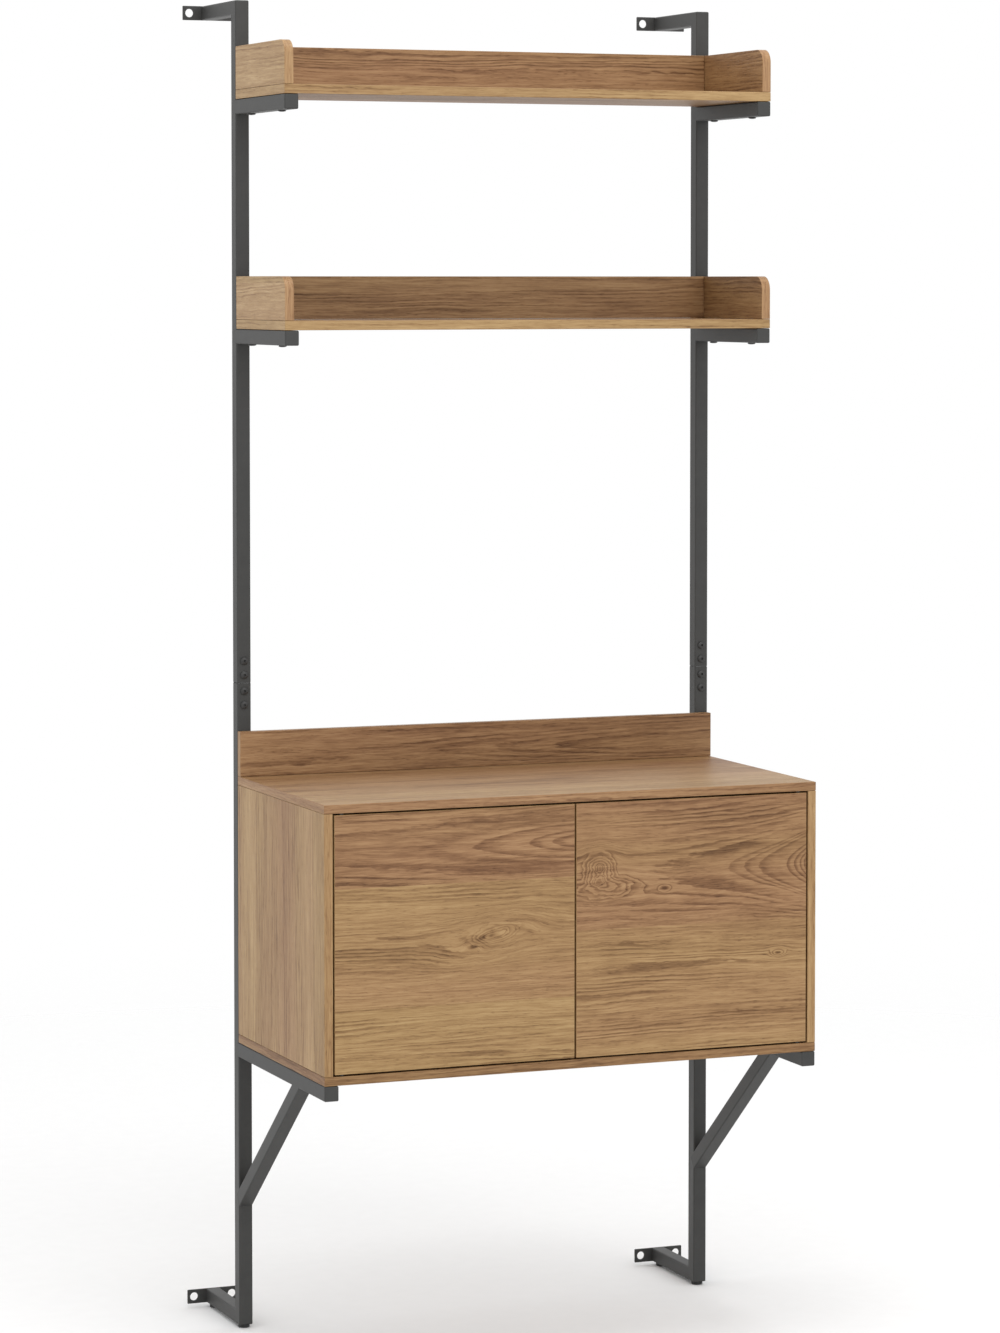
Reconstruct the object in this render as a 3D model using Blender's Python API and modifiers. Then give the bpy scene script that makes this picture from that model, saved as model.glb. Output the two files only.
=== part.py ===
"""A tall wall-fixed storage unit: two square-tube posts stand on the floor, held off the wall by
short arms with screw plates, and carry two shelf trays and a cabinet with two doors.

Frame: X runs along the wall, +Y into the wall, +Z up. The origin is the middle of the unit where
the wall meets the floor, so the unit fills negative Y. Lengths are in metres.
"""

import math

import bmesh
import bpy
from mathutils import Matrix, Vector

# Driving dimensions
WIDTH = 0.900  # over the posts, the trays and the cabinet
POST_TOP = 2.323
SEAM_Z = 1.138  # where the upper post stands on the lower one
WALL_GAP = 0.165  # from the wall to the back of the posts
TUBE = 0.025
TUBE_WALL = 0.0015
TUBE_CORNER = 0.0025
GLIDE_HEIGHT = 0.006
GLIDE_RADIUS = 0.0105
GLIDE_STEM_RADIUS = 0.004
GLIDE_STEM = 0.012
REAR_GLIDE_FROM_WALL = 0.018
JOINT_GAP = 0.0003  # left between pieces that touch
RUN_IN = 0.001  # how far outside a face its drill starts

TRAY_BOTTOMS = {"upper": 2.152, "lower": 1.755}
TRAY_DEPTH = 0.260
TRAY_HEIGHT = 0.091
TRAY_BOARD = 0.016
TRAY_CORNER = 0.024

CABINET_BOTTOM = 0.507
CABINET_HEIGHT = 0.468
CABINET_DEPTH = 0.450
PANEL = 0.015
BACK_PANEL = 0.006
BACKSPLASH_HEIGHT = 0.079
DOOR_GAP = 0.003
EDGE = 0.0008  # softened edges of the wood

ARM_DROP = 0.001  # between an arm and the board that it carries
BRACE_REACH = 0.280
BRACE_DROP = 0.231

PLATE_WIDTH = 0.095
PLATE_THICKNESS = 0.003
PLATE_HOLE_RADIUS = 0.0074
PLATE_HOLE_SPACING = 0.071

SLEEVE_LENGTH = 0.110
SLEEVE_CORNER = 0.0018
SPLICE_SCREW_OFFSETS = (-0.0385, -0.014, 0.014, 0.0385)  # from the seam
TRAY_SCREW_OFFSETS = (0.050, 0.210)  # from the front of the post, on a tray arm
CABINET_SCREW_OFFSETS = (0.060, 0.390)
SCREW_HEAD_RADIUS = 0.007
SCREW_HEAD_HEIGHT = 0.0032
SCREW_SHANK_RADIUS = 0.003
SCREW_SHANK = 0.012
SCREW_HOLE_RADIUS = 0.0033

PIVOT_FROM_EDGE = 0.014  # door edge to pivot axis
PIN_RADIUS = 0.003
PIN_DEPTH = 0.010  # into the panel, and into the bush
COLLAR_RADIUS = 0.005
BUSH_RADIUS = 0.0045
BUSH_LENGTH = 0.012

LATCH_SIZE = Vector((0.090, 0.045, 0.020))
LATCH_FRONT_GAP = 0.025  # from the back of the doors to the front of the latch
PLUNGER_RADIUS = 0.004
PLUNGER_GAP = 0.0005  # from a plunger's tip to the strike on the door
PLUNGER_SEAT = 0.020  # length of a plunger inside the latch
PLUNGER_TRAVEL = 0.003
PLUNGER_X = 0.028
STRIKE_RADIUS = 0.006
STRIKE_THICKNESS = 0.0015

# Worked out from the driving dimensions
HALF_WIDTH = WIDTH / 2
POST_X = HALF_WIDTH - TUBE / 2
POST_BACK = -WALL_GAP
POST_FRONT = POST_BACK - TUBE
WOOD_BACK = POST_FRONT - JOINT_GAP
TRAY_FRONT = POST_FRONT - TRAY_DEPTH
CABINET_FRONT = POST_FRONT - CABINET_DEPTH
CABINET_TOP = CABINET_BOTTOM + CABINET_HEIGHT
INNER_BOTTOM = CABINET_BOTTOM + PANEL
INNER_TOP = CABINET_TOP - PANEL
INNER_HALF = HALF_WIDTH - PANEL
DOOR_BACK = CABINET_FRONT + PANEL
DOOR_OUTER = INNER_HALF - DOOR_GAP
DOOR_BOTTOM = INNER_BOTTOM + DOOR_GAP
DOOR_TOP = INNER_TOP - DOOR_GAP
PIVOT_X = DOOR_OUTER - PIVOT_FROM_EDGE
PIVOT_Y = CABINET_FRONT + PANEL / 2
CABINET_ARM_UNDERSIDE = CABINET_BOTTOM - ARM_DROP - TUBE
STRIKE_BACK = DOOR_BACK + JOINT_GAP + STRIKE_THICKNESS
LATCH_FRONT = DOOR_BACK + LATCH_FRONT_GAP
LATCH_Z = INNER_TOP - JOINT_GAP - LATCH_SIZE.z / 2
SIDES = {"left": -1, "right": 1}

FLIP_DOWN = Matrix.Rotation(math.pi, 4, "X")
ALONG_Y = Matrix.Rotation(math.pi / 2, 4, "X")  # turns +Z to -Y


def clear_scene():
    for obj in list(bpy.data.objects):
        bpy.data.objects.remove(obj)


def new_collection(name, hidden=False):
    collection = bpy.data.collections.new(name)
    bpy.context.scene.collection.children.link(collection)
    collection.hide_render = hidden
    return collection


def new_material(name, colour, roughness, metallic=0.0):
    material = bpy.data.materials.new(name)
    material.use_nodes = True
    shader = material.node_tree.nodes["Principled BSDF"]
    shader.inputs["Base Color"].default_value = (*colour, 1.0)
    shader.inputs["Roughness"].default_value = roughness
    shader.inputs["Metallic"].default_value = metallic
    material.diffuse_color = (*colour, 1.0)
    return material


def add_object(name, mesh, material, place=Matrix.Identity(4), collection=None):
    obj = bpy.data.objects.new(name, mesh)
    obj.matrix_world = place
    if material and not mesh.materials:
        mesh.materials.append(material)
    (collection or PARTS).objects.link(obj)
    return obj


def box_mesh(name, low, high):
    """A box mesh round its own middle, and that middle."""
    low, high = Vector(low), Vector(high)
    shape = bmesh.new()
    bmesh.ops.create_cube(shape, size=1.0, matrix=Matrix.Diagonal((*(high - low), 1.0)))
    mesh = bpy.data.meshes.new(name)
    shape.to_mesh(mesh)
    shape.free()
    return mesh, (low + high) / 2


def add_bevel(obj, width):
    bevel = obj.modifiers.new("softened_edges", "BEVEL")
    bevel.width = width
    bevel.segments = 1
    bevel.limit_method = "ANGLE"


def hang_on(pivot, obj):
    """Parents an object to a pivot and leaves it where it stands."""
    obj.parent = pivot
    obj.matrix_parent_inverse = pivot.matrix_world.inverted()


def add_pivot(name, place):
    pivot = add_object(name, None, None, Matrix.Translation(place))
    pivot.empty_display_size = 0.05
    return pivot


def add_box(name, low, high, material, edge=EDGE):
    mesh, middle = box_mesh(name, low, high)
    obj = add_object(name, mesh, material, Matrix.Translation(middle))
    if edge:
        add_bevel(obj, edge)
    return obj


def add_cutter(name, mesh, place):
    cutter = add_object(name, mesh, None, place, CUTTERS)
    cutter.hide_render = True
    cutter.display_type = "WIRE"
    return cutter


def drill(target, name, place, radius, depth, segments=20):
    """Cuts a round hole to the depth along the place's +Z. The cutter starts a little outside."""
    shape = bmesh.new()
    bmesh.ops.create_cone(
        shape,
        cap_ends=True,
        segments=segments,
        radius1=radius,
        radius2=radius,
        depth=depth + RUN_IN,
        matrix=Matrix.Translation((0, 0, (depth - RUN_IN) / 2)),
    )
    mesh = bpy.data.meshes.new(name)
    shape.to_mesh(mesh)
    shape.free()
    boolean = target.modifiers.new(name, "BOOLEAN")
    boolean.object = add_cutter(name, mesh, place)


def turned_mesh(name, profile, steps=20):
    """A solid of revolution about Z: profile runs from the top of the axis down the outer side."""
    mesh = bpy.data.meshes.new(name)
    points = [(radius, 0.0, height) for radius, height in profile]
    edges = [(i, i + 1) for i in range(len(points) - 1)]
    if profile[0][0] > 0:
        edges.append((len(points) - 1, 0))
    mesh.from_pydata(points, edges, [])
    return mesh, steps


def add_turned(name, turned, material, place):
    mesh, steps = turned
    obj = add_object(name, mesh, material, place)
    screw = obj.modifiers.new("turned", "SCREW")
    screw.steps = steps
    screw.render_steps = steps
    screw.use_merge_vertices = True
    screw.merge_threshold = 0.00001
    return obj


def tube_mesh(name, side, corner, length, close_start, close_end):
    """An open skin of square tube along +Z from 0 to length, with rounded corners."""
    shape = bmesh.new()
    size = Matrix.Diagonal((side, side, length, 1.0))
    bmesh.ops.create_cube(shape, size=1.0, matrix=Matrix.Translation((0, 0, length / 2)) @ size)
    long_edges = [e for e in shape.edges if abs(e.verts[0].co.z - e.verts[1].co.z) > length / 2]
    bmesh.ops.bevel(
        shape,
        geom=long_edges,
        offset=corner,
        offset_type="OFFSET",
        segments=3,
        profile=0.5,
        affect="EDGES",
    )
    ends = [f for f in shape.faces if abs(f.normal.z) > 0.9]
    opened = [f for f in ends if not (close_start if f.normal.z < 0 else close_end)]
    bmesh.ops.delete(shape, geom=opened, context="FACES")
    mesh = bpy.data.meshes.new(name)
    shape.to_mesh(mesh)
    shape.free()
    return mesh


def add_tube(
    name,
    start,
    direction,
    length,
    close_start=False,
    close_end=False,
    side=TUBE,
    corner=TUBE_CORNER,
    material=None,
):
    """A square tube from start along direction, its walls solidified inwards."""
    turn = Vector(direction).to_track_quat("Z", "X").to_matrix().to_4x4()
    mesh = tube_mesh(name, side, corner, length, close_start, close_end)
    obj = add_object(name, mesh, material or STEEL, Matrix.Translation(start) @ turn)
    walls = obj.modifiers.new("walls", "SOLIDIFY")
    walls.thickness = TUBE_WALL
    walls.offset = -1.0
    walls.use_even_offset = True
    return obj


def pointing_back(x, y, z):
    """A place whose +Z points to +Y, into the wall."""
    return Matrix.Translation((x, y, z)) @ ALONG_Y.inverted()


def pointing_front(x, y, z):
    return Matrix.Translation((x, y, z)) @ ALONG_Y


def screw_shape():
    """A low round head with a shank that runs down from its seat at z = 0."""
    crown = [
        (SCREW_HEAD_RADIUS * math.sin(a), SCREW_HEAD_HEIGHT * (0.35 + 0.65 * math.cos(a)))
        for a in (0.0, 0.5, 0.9, 1.25, math.pi / 2)
    ]
    return turned_mesh(
        "pan_head_screw",
        [
            *crown,
            (SCREW_HEAD_RADIUS, 0.0),
            (SCREW_SHANK_RADIUS, 0.0),
            (SCREW_SHANK_RADIUS, -SCREW_SHANK),
            (0.0, -SCREW_SHANK),
        ],
    )


def glide_shape():
    """A round foot with a stem that runs up from its top at z = 0."""
    chamfer = 0.0012
    underside = JOINT_GAP - GLIDE_HEIGHT
    return turned_mesh(
        "glide",
        [
            (0.0, GLIDE_STEM),
            (GLIDE_STEM_RADIUS, GLIDE_STEM),
            (GLIDE_STEM_RADIUS, 0.0),
            (GLIDE_RADIUS - chamfer, 0.0),
            (GLIDE_RADIUS, -chamfer),
            (GLIDE_RADIUS, underside + chamfer),
            (GLIDE_RADIUS - chamfer, underside),
            (0.0, underside),
        ],
        steps=24,
    )


def drill_glide_hole(tube, y):
    """A hole in the underside of a tube, for a glide's stem."""
    place = Matrix.Translation((tube.matrix_world.translation.x, y, 0.0))
    depth = GLIDE_HEIGHT + 2 * TUBE_WALL
    drill(tube, f"glide_hole_{tube.name}", place, GLIDE_STEM_RADIUS + 0.0004, depth)


def build_posts():
    """Each post is two tubes, end to end, on a sleeve that four screws hold from the front."""
    screw = screw_shape()
    sleeve_size = TUBE - 2 * TUBE_WALL - 2 * JOINT_GAP
    post_y = (POST_FRONT + POST_BACK) / 2
    for side, sign in SIDES.items():
        x = sign * POST_X
        lower_top = SEAM_Z - JOINT_GAP
        upper = add_tube(
            f"post_upper_{side}", (x, post_y, SEAM_Z), (0, 0, 1), POST_TOP - SEAM_Z, close_end=True
        )
        lower = add_tube(
            f"post_lower_{side}",
            (x, post_y, GLIDE_HEIGHT),
            (0, 0, 1),
            lower_top - GLIDE_HEIGHT,
            close_start=True,
        )
        sleeve = add_tube(
            f"splice_sleeve_{side}",
            (x, post_y, SEAM_Z - SLEEVE_LENGTH / 2),
            (0, 0, 1),
            SLEEVE_LENGTH,
            side=sleeve_size,
            corner=SLEEVE_CORNER,
            material=ZINC,
        )
        for number, offset in enumerate(SPLICE_SCREW_OFFSETS, 1):
            z = SEAM_Z + offset
            seat = pointing_back(x, POST_FRONT - JOINT_GAP, z)
            for tube in (lower if offset < 0 else upper, sleeve):
                hole = f"hole_{tube.name}_{number}"
                drill(tube, hole, seat, SCREW_HOLE_RADIUS, TUBE_WALL * 3 + JOINT_GAP)
            head_out = Matrix.Translation((x, POST_FRONT - JOINT_GAP, z)) @ ALONG_Y
            add_turned(f"splice_screw_{side}_{number}", screw, BLACK_STEEL, head_out)
        drill_glide_hole(lower, post_y)


def build_wall_arms():
    """The arms from the posts to the wall, each with its screw plate welded on, and the glides."""
    glide = glide_shape()
    post_y = (POST_FRONT + POST_BACK) / 2
    heights = {"top": POST_TOP - TUBE / 2, "foot": GLIDE_HEIGHT + TUBE / 2}
    for side, sign in SIDES.items():
        x = sign * POST_X
        for level, z in heights.items():
            name = f"{level}_wall_arm_{side}"
            start = (x, POST_BACK + JOINT_GAP, z)
            arm = add_tube(name, start, (0, 1, 0), WALL_GAP - JOINT_GAP - PLATE_THICKNESS / 2)
            plate = plate_cutter(name, x, z)
            join = arm.modifiers.new("weld_plate", "BOOLEAN")
            join.operation = "UNION"
            join.object = plate
            for hole_sign in SIDES.values():
                hole_x = x + hole_sign * PLATE_HOLE_SPACING / 2
                place = pointing_back(hole_x, -2 * PLATE_THICKNESS, z)
                drill(
                    arm,
                    f"{name}_hole_{'left' if hole_sign < 0 else 'right'}",
                    place,
                    PLATE_HOLE_RADIUS,
                    3 * PLATE_THICKNESS,
                    segments=24,
                )
            if level == "foot":
                drill_glide_hole(arm, -REAR_GLIDE_FROM_WALL)
        for end, y in (("front", post_y), ("rear", -REAR_GLIDE_FROM_WALL)):
            place = Matrix.Translation((x, y, GLIDE_HEIGHT - JOINT_GAP))
            add_turned(f"glide_{end}_{side}", glide, PLASTIC, place)


def plate_cutter(name, x, z):
    """The wall plate as a hidden shape, joined to its arm by a union."""
    half = Vector((PLATE_WIDTH / 2, PLATE_THICKNESS / 2, TUBE / 2))
    middle = Vector((x, -PLATE_THICKNESS / 2, z))
    mesh, middle = box_mesh(f"{name}_plate", middle - half, middle + half)
    return add_cutter(f"{name}_plate", mesh, Matrix.Translation(middle))


def build_carrying_arms():
    """The arms under the trays and the cabinet, and the braces under the cabinet's arms."""
    for side, sign in SIDES.items():
        x = sign * POST_X
        rows = [
            (f"{tray}_tray_arm_{side}", bottom, TRAY_DEPTH, TRAY_SCREW_OFFSETS)
            for tray, bottom in TRAY_BOTTOMS.items()
        ]
        cabinet_row = (f"cabinet_arm_{side}", CABINET_BOTTOM, CABINET_DEPTH, CABINET_SCREW_OFFSETS)
        for name, board_bottom, depth, screws in [*rows, cabinet_row]:
            z = board_bottom - ARM_DROP - TUBE / 2
            start = (x, POST_FRONT - JOINT_GAP, z)
            arm = add_tube(name, start, (0, -1, 0), depth - JOINT_GAP, close_end=True)
            for number, offset in enumerate(screws, 1):
                hole = Matrix.Translation((x, POST_FRONT - offset, z - TUBE))
                drill(arm, f"{name}_hole_{number}", hole, SCREW_HOLE_RADIUS, 2 * TUBE)
        add_brace(side, x)


def add_brace(side, x):
    """A tube that slopes from the post up to the arm's underside, trimmed flush at both ends."""
    slope = math.atan2(BRACE_DROP, BRACE_REACH)
    along = Vector((0.0, -math.cos(slope), math.sin(slope)))
    across = Vector((0.0, -math.sin(slope), -math.cos(slope)))
    spare = 2 * TUBE
    upper_edge_start = Vector((x, POST_FRONT, CABINET_ARM_UNDERSIDE - BRACE_DROP))
    start = upper_edge_start + across * TUBE / 2 - along * spare
    length = math.hypot(BRACE_REACH, BRACE_DROP) + 2 * spare
    brace = add_tube(f"cabinet_brace_{side}", start, along, length)
    low = (x - TUBE, CABINET_FRONT, 0.0)
    high = (x + TUBE, POST_FRONT - JOINT_GAP, CABINET_ARM_UNDERSIDE - JOINT_GAP)
    mesh, middle = box_mesh(f"brace_trim_{side}", low, high)
    trim = brace.modifiers.new("trim", "BOOLEAN")
    trim.operation = "INTERSECT"
    trim.object = add_cutter(f"brace_trim_{side}", mesh, Matrix.Translation(middle))


def build_trays():
    """Two trays: a board, two end panels with a rounded front corner, and a back rail."""
    for tray, bottom in TRAY_BOTTOMS.items():
        board_top = bottom + TRAY_BOARD
        wall_bottom = board_top + JOINT_GAP
        top = bottom + TRAY_HEIGHT
        add_box(
            f"{tray}_tray_board",
            (-HALF_WIDTH, TRAY_FRONT, bottom),
            (HALF_WIDTH, WOOD_BACK, board_top),
            OAK,
        )
        rail_half = HALF_WIDTH - TRAY_BOARD - JOINT_GAP
        add_box(
            f"{tray}_tray_back_rail",
            (-rail_half, WOOD_BACK - TRAY_BOARD, wall_bottom),
            (rail_half, WOOD_BACK, top),
            OAK,
        )
        for side, sign in SIDES.items():
            ends = sorted((sign * HALF_WIDTH, sign * (HALF_WIDTH - TRAY_BOARD)))
            add_end_panel(f"{tray}_tray_end_{side}", ends, wall_bottom, top)


def add_end_panel(name, ends, bottom, top):
    low = Vector((ends[0], TRAY_FRONT, bottom))
    high = Vector((ends[1], WOOD_BACK, top))
    mesh, middle = box_mesh(name, low, high)
    shape = bmesh.new()
    shape.from_mesh(mesh)
    corner = [e for e in shape.edges if all(v.co.y < 0 and v.co.z > 0 for v in e.verts)]
    bmesh.ops.bevel(
        shape,
        geom=corner,
        offset=TRAY_CORNER,
        offset_type="OFFSET",
        segments=10,
        profile=0.5,
        affect="EDGES",
    )
    shape.to_mesh(mesh)
    shape.free()
    add_bevel(add_object(name, mesh, OAK, Matrix.Translation(middle)), EDGE)


def build_carcass():
    """The cabinet's fixed panels. The top and bottom run over the ends of the sides."""
    bottom = add_box(
        "cabinet_bottom",
        (-HALF_WIDTH, CABINET_FRONT, CABINET_BOTTOM),
        (HALF_WIDTH, WOOD_BACK, INNER_BOTTOM),
        OAK,
    )
    top = add_box(
        "cabinet_top",
        (-HALF_WIDTH, CABINET_FRONT, INNER_TOP),
        (HALF_WIDTH, WOOD_BACK, CABINET_TOP),
        OAK,
    )
    for side, sign in SIDES.items():
        ends = sorted((sign * HALF_WIDTH, sign * INNER_HALF))
        add_box(
            f"cabinet_side_{side}",
            (ends[0], CABINET_FRONT, INNER_BOTTOM + JOINT_GAP),
            (ends[1], WOOD_BACK, INNER_TOP - JOINT_GAP),
            OAK,
        )
    back_half = INNER_HALF - JOINT_GAP
    add_box(
        "cabinet_back",
        (-back_half, WOOD_BACK - BACK_PANEL, INNER_BOTTOM + JOINT_GAP),
        (back_half, WOOD_BACK, INNER_TOP - JOINT_GAP),
        OAK,
    )
    add_box(
        "backsplash",
        (-HALF_WIDTH, WOOD_BACK - PANEL, CABINET_TOP + JOINT_GAP),
        (HALF_WIDTH, WOOD_BACK, CABINET_TOP + BACKSPLASH_HEIGHT),
        OAK,
    )
    return bottom, top


def build_doors(bottom, top):
    """Two doors flush in the carcass, each turning on a pin at its foot and one at its head."""
    pivots = {}
    pin = pin_shape()
    bush = bush_shape()
    bore_radius = PIN_RADIUS + JOINT_GAP
    seat_radius = BUSH_RADIUS + JOINT_GAP
    for side, sign in SIDES.items():
        ends = sorted((sign * DOOR_OUTER, sign * DOOR_GAP / 2))
        door = add_box(
            f"door_{side}",
            (ends[0], CABINET_FRONT, DOOR_BOTTOM),
            (ends[1], DOOR_BACK, DOOR_TOP),
            OAK,
        )
        x = sign * PIVOT_X
        pivots[side] = add_pivot(f"door_pivot_{side}", (x, PIVOT_Y, CABINET_BOTTOM))
        hang_on(pivots[side], door)
        ends_of_door = (
            ("bottom", bottom, INNER_BOTTOM, DOOR_BOTTOM, Matrix.Identity(4)),
            ("top", top, INNER_TOP, DOOR_TOP, FLIP_DOWN),
        )
        for level, panel, panel_face, door_face, turn in ends_of_door:
            at_panel = Matrix.Translation((x, PIVOT_Y, panel_face)) @ turn
            at_door = Matrix.Translation((x, PIVOT_Y, door_face)) @ turn
            add_turned(f"pivot_pin_{level}_{side}", pin, BLACK_STEEL, at_panel)
            bush_object = add_turned(f"pivot_bush_{level}_{side}", bush, BRASS, at_door)
            hang_on(pivots[side], bush_object)
            into_panel = at_panel @ FLIP_DOWN
            depth = PIN_DEPTH + JOINT_GAP
            drill(panel, f"pin_bore_{level}_{side}", into_panel, bore_radius, depth)
            bush_depth = BUSH_LENGTH + JOINT_GAP
            drill(door, f"bush_bore_{level}_{side}", at_door, seat_radius, bush_depth)
    return pivots


def pin_shape():
    """A pin from -PIN_DEPTH in the panel, through a collar in the gap, up into the door."""
    collar_low, collar_high = JOINT_GAP, DOOR_GAP - JOINT_GAP
    tip = DOOR_GAP + PIN_DEPTH
    return turned_mesh(
        "pivot_pin",
        [
            (0.0, tip),
            (PIN_RADIUS, tip),
            (PIN_RADIUS, collar_high),
            (COLLAR_RADIUS, collar_high),
            (COLLAR_RADIUS, collar_low),
            (PIN_RADIUS, collar_low),
            (PIN_RADIUS, -PIN_DEPTH),
            (0.0, -PIN_DEPTH),
        ],
    )


def bush_shape():
    """A plain ring in the door's edge, its mouth level with the edge."""
    inner = PIN_RADIUS + JOINT_GAP
    low, high = JOINT_GAP, BUSH_LENGTH
    return turned_mesh(
        "pivot_bush", [(inner, high), (BUSH_RADIUS, high), (BUSH_RADIUS, low), (inner, low)]
    )


def build_latch(pivots):
    """A double push-to-open latch under the top panel, and the strikes on the doors."""
    half = LATCH_SIZE / 2
    middle = Vector((0.0, LATCH_FRONT + half.y, LATCH_Z))
    housing = add_box("latch_housing", middle - half, middle + half, PLASTIC, edge=0.001)
    tip = LATCH_FRONT - (STRIKE_BACK + PLUNGER_GAP)
    plunger = turned_mesh(
        "latch_plunger",
        [
            (0.0, tip),
            (PLUNGER_RADIUS * 0.6, tip),
            (PLUNGER_RADIUS, tip - 0.0015),
            (PLUNGER_RADIUS, -PLUNGER_SEAT),
            (0.0, -PLUNGER_SEAT),
        ],
    )
    strike = turned_mesh(
        "strike",
        [
            (0.0, STRIKE_THICKNESS),
            (STRIKE_RADIUS - 0.0005, STRIKE_THICKNESS),
            (STRIKE_RADIUS, STRIKE_THICKNESS - 0.0005),
            (STRIKE_RADIUS, 0.0),
            (0.0, 0.0),
        ],
    )
    bore_depth = PLUNGER_SEAT + PLUNGER_TRAVEL + 0.004
    for side, sign in SIDES.items():
        x = sign * PLUNGER_X
        mouth = pointing_back(x, LATCH_FRONT, LATCH_Z)
        drill(housing, f"plunger_bore_{side}", mouth, PLUNGER_RADIUS + JOINT_GAP, bore_depth)
        add_turned(
            f"latch_plunger_{side}", plunger, PLASTIC, pointing_front(x, LATCH_FRONT, LATCH_Z)
        )
        on_door = pointing_back(x, DOOR_BACK + JOINT_GAP, LATCH_Z)
        strike_object = add_turned(f"strike_{side}", strike, ZINC, on_door)
        hang_on(pivots[side], strike_object)


clear_scene()
PARTS = new_collection("wall_fixed_storage_unit")
CUTTERS = new_collection("cutters", hidden=True)
STEEL = new_material("dark_powder_coat", (0.062, 0.062, 0.060), 0.55, 0.2)
OAK = new_material("oiled_oak", (0.42, 0.27, 0.15), 0.55)
PLASTIC = new_material("black_plastic", (0.015, 0.015, 0.015), 0.5)
BLACK_STEEL = new_material("black_steel", (0.03, 0.03, 0.03), 0.4, 0.6)
ZINC = new_material("zinc_steel", (0.55, 0.55, 0.56), 0.35, 1.0)
BRASS = new_material("brass", (0.70, 0.50, 0.22), 0.3, 1.0)

build_posts()
build_wall_arms()
build_carrying_arms()
build_trays()
door_pivots = build_doors(*build_carcass())
build_latch(door_pivots)
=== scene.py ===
"""The detailed visual model of a tall wall-fixed storage unit: oak trays and a cabinet on dark
square-tube frames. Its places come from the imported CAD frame, in metres."""

import math
import random
from typing import NamedTuple

import bmesh
import bpy
from mathutils import Matrix, Vector


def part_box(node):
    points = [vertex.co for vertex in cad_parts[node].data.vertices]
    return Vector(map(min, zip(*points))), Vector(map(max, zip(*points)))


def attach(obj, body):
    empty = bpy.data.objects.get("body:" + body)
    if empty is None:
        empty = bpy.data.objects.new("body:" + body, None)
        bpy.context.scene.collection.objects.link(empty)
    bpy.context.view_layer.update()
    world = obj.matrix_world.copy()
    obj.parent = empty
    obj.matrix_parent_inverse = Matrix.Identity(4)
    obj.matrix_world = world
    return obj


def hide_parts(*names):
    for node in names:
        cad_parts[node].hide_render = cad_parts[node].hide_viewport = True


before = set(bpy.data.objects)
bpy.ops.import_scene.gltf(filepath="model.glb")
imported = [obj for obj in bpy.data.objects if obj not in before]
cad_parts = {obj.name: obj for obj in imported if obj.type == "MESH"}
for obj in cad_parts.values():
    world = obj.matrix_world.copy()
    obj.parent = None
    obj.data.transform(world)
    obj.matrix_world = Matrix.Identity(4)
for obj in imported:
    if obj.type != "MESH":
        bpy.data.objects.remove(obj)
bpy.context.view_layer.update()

FRAME_BODY = "frame_and_carcass"
SIDES = {"left": -1, "right": 1}
TRAYS = ("upper", "lower")

# Square tube, wall plates and braces
TUBE = 0.025
TUBE_CORNER = 0.0024
TUBE_CORNER_STEPS = 4
SEAM_EDGE = 0.0010  # the easing of a post's sawn end
SEAM_EDGE_STEPS = 2
PLATE_THICKNESS = 0.003
PLATE_CORNER = 0.0012
PLATE_CORNER_STEPS = 3
PLATE_EDGE = 0.0004
PLATE_EDGE_STEPS = 2
PLATE_HOLE_RADIUS = 0.0074
PLATE_HOLE_SPACING = 0.071
ARM_LIFT = 0.0006  # raises the top of a carrying arm nearer to its board
BRACE_DROP = 0.231  # of a brace's upper face, from the arm down to the post
BRACE_REACH = 0.280  # of the same face, from the post forward
BRACE_INTO_POST = 0.0235
BRACE_INTO_ARM = 0.033

# Screws with a low domed head. An outline is a list of insets from the rim, with their heights.
HEAD_RADIUS = 0.007
HEAD_HEIGHT = 0.0032
DOME_FOOT = 0.36 * HEAD_HEIGHT
DOME_ANGLES = (0.48, 0.62, 0.78, 0.94, 1.10, 1.26, 1.42, math.pi / 2)  # from the head's axis
HEAD_UNDERSIDE = ((0.0, 0.0009), (0.0002, 0.0006), (0.0009, 0.0005), (0.0009, 0.0))
SOCKET_CORNERS = 6
SOCKET_RADIUS = 0.0020  # to the flats of its hexagon
SOCKET_EDGE = 0.0003
SOCKET_FLOOR = 0.0002
SOCKET_TOP = 0.90 * HEAD_HEIGHT
SOCKET_RIM = 0.96 * HEAD_HEIGHT
SHANK_RADIUS = 0.003
SHANK = 0.006
SPLICE_SCREWS = 4  # on each side
TRAY_SCREW_OFFSETS = (0.050, 0.210)  # from the back of the arm
CABINET_SCREW_OFFSETS = (0.060, 0.390)
SPLICE_SCREW_TURN = 0.4  # from each screw's socket to the next one's, in radians
ARM_SCREW_TURN = 0.7

# Glides: a flat top, a rounded rim, a shallow waist, and a second rim that ends in the sole
GLIDE_TOP = 0.0057
GLIDE_OUTLINE = (
    (0.0012, GLIDE_TOP),
    (0.0003, 0.0053),
    (0.0, 0.0045),
    (0.0003, 0.0038),
    (0.0008, 0.0034),
    (0.0008, 0.0030),
    (0.0003, 0.0026),
    (0.0, 0.0018),
    (0.0004, 0.0008),
    (0.0014, 0.0001),
)

# Boards and doors
BOARD_EDGE = 0.0009
BOARD_EDGE_STEPS = 3
TRAY_CORNER = 0.024
TRAY_CORNER_STEPS = 20
BORE_CLEARANCE = 0.0003  # round a bush or a plunger
BORE_PAST = 0.002  # how far a bore's cutter stands out of the face that it opens on

# The latch, and the seam in its housing
LATCH_EDGE = 0.002
LATCH_EDGE_STEPS = 4
PLUNGER_BORE_DEPTH = 0.026
LATCH_SEAM_INSET = 0.012
LATCH_SEAM_WIDTH = 0.0012
LATCH_SEAM_DEPTH = 0.0006
LATCH_SEAM_PAST = 0.01  # how far its cutter runs past the housing

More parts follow.
